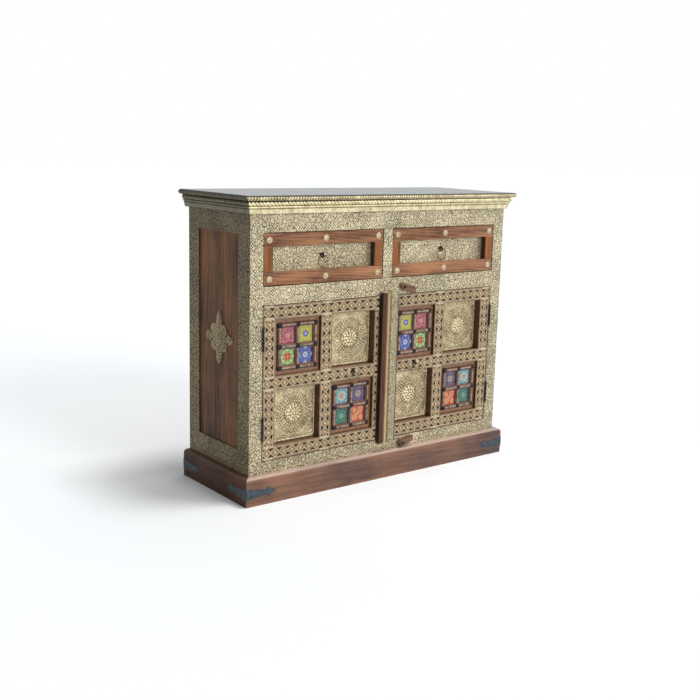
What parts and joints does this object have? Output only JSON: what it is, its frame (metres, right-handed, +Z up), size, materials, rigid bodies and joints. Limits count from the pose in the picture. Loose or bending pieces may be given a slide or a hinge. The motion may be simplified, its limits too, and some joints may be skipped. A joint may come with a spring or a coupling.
{
  "type": "chest of drawers",
  "caption": "Brass-clad sideboard chest with ring-pull drawers over carved lattice doors set with ceramic tiles and embossed medallions, on an iron-strapped wooden plinth.",
  "frame": {"origin": "middle of the footprint, on the floor", "axes": "+X to the object's right as seen from its front, +Y to the back, +Z up"},
  "size_m": [1.06, 0.392, 0.9],
  "materials": {
    "plinth_wood": "waxed",
    "carcass_wood": "waxed",
    "inner_wood": "raw",
    "embossed_brass": "embossed, aged",
    "clad_moulding": "clad in brass",
    "carved_wood": "carved, brass-toned",
    "button_wood": "waxed",
    "red_wood": "waxed",
    "top_wood": "polished",
    "strap_iron": "aged",
    "black_iron": "blackened",
    "glazed_tile": "glazed"
  },
  "bodies": {
    "cabinet": {"plinth_front": "plinth_wood", "plinth_left": "plinth_wood", "plinth_right": "plinth_wood", "plinth_back": "plinth_wood", "corner_straps": "strap_iron", "bottom_board": "inner_wood", "side_frame_left": "carcass_wood", "side_frame_right": "carcass_wood", "side_panel_left": "carcass_wood", "side_panel_right": "carcass_wood", "side_plaques": "embossed_brass", "top_rail": "carcass_wood", "middle_rail": "carcass_wood", "bottom_rail": "carcass_wood", "drawer_divider": "carcass_wood", "front_cladding": "embossed_brass", "side_cladding": "embossed_brass", "cornice_fillet": "clad_moulding", "rope_moulding": "clad_moulding", "top_board": "top_wood", "top_nosing": "clad_moulding", "back_panel": "inner_wood", "dust_board": "inner_wood", "shelf": "inner_wood", "shelf_cleats": "inner_wood", "hinge_plates": "black_iron", "turn_button_pivots": "black_iron"},
    "upper_turn_button": {"upper_turn_button": "button_wood"},
    "lower_turn_button": {"lower_turn_button": "button_wood"},
    "drawer_left": {"drawer_left_frame": "red_wood", "drawer_left_panel": "embossed_brass", "drawer_left_studs": "embossed_brass", "drawer_left_box": "inner_wood", "drawer_left_staple": "black_iron"},
    "drawer_left_ring": {"drawer_left_ring": "black_iron"},
    "door_left": {"door_left_lattice": "carved_wood", "door_left_back": "inner_wood", "door_left_medallions": "embossed_brass", "door_left_tile_blocks": "red_wood", "door_left_tiles": "glazed_tile", "door_left_nails": "black_iron", "door_left_staple": "black_iron", "door_left_hinges": "black_iron"},
    "door_left_ring": {"door_left_ring": "black_iron"},
    "drawer_right": {"drawer_right_frame": "red_wood", "drawer_right_panel": "embossed_brass", "drawer_right_studs": "embossed_brass", "drawer_right_box": "inner_wood", "drawer_right_staple": "black_iron"},
    "drawer_right_ring": {"drawer_right_ring": "black_iron"},
    "door_right": {"door_right_lattice": "carved_wood", "door_right_back": "inner_wood", "door_right_medallions": "embossed_brass", "door_right_tile_blocks": "red_wood", "door_right_tiles": "glazed_tile", "door_right_nails": "black_iron", "door_right_staple": "black_iron", "door_right_hinges": "black_iron", "meeting_strip": "red_wood"},
    "door_right_ring": {"door_right_ring": "black_iron"}
  },
  "joints": [
    {"name": "drawer_left_slide", "type": "slide", "parent": "cabinet", "child": "drawer_left", "axis": [0, -1, 0], "range_m": [0, 0.25]},
    {"name": "drawer_left_ring_swing", "type": "hinge", "parent": "drawer_left", "child": "drawer_left_ring", "pos_m": [-0.2375, -0.1537, 0.7215], "axis": [-1, 0, 0], "range_deg": [0, 110]},
    {"name": "door_left_hinge", "type": "hinge", "parent": "cabinet", "child": "door_left", "pos_m": [-0.4555, -0.1693, 0.3555], "axis": [0, 0, -1], "range_deg": [0, 110]},
    {"name": "door_left_ring_swing", "type": "hinge", "parent": "door_left", "child": "door_left_ring", "pos_m": [-0.1255, -0.1735, 0.3585], "axis": [-1, 0, 0], "range_deg": [0, 110]},
    {"name": "drawer_right_slide", "type": "slide", "parent": "cabinet", "child": "drawer_right", "axis": [0, -1, 0], "range_m": [0, 0.25]},
    {"name": "drawer_right_ring_swing", "type": "hinge", "parent": "drawer_right", "child": "drawer_right_ring", "pos_m": [0.2375, -0.1537, 0.7215], "axis": [-1, 0, 0], "range_deg": [0, 110]},
    {"name": "door_right_hinge", "type": "hinge", "parent": "cabinet", "child": "door_right", "pos_m": [0.4555, -0.1693, 0.3555], "axis": [0, 0, 1], "range_deg": [0, 110]},
    {"name": "door_right_ring_swing", "type": "hinge", "parent": "door_right", "child": "door_right_ring", "pos_m": [0.1255, -0.1735, 0.3585], "axis": [-1, 0, 0], "range_deg": [0, 110]},
    {"name": "upper_turn_button_pivot", "type": "hinge", "parent": "cabinet", "child": "upper_turn_button", "pos_m": [0.065, -0.173, 0.612], "axis": [0, 1, 0], "range_deg": [-18, 72]},
    {"name": "lower_turn_button_pivot", "type": "hinge", "parent": "cabinet", "child": "lower_turn_button", "pos_m": [0.077, -0.173, 0.1], "axis": [0, -1, 0], "range_deg": [-14, 76]}
  ]
}
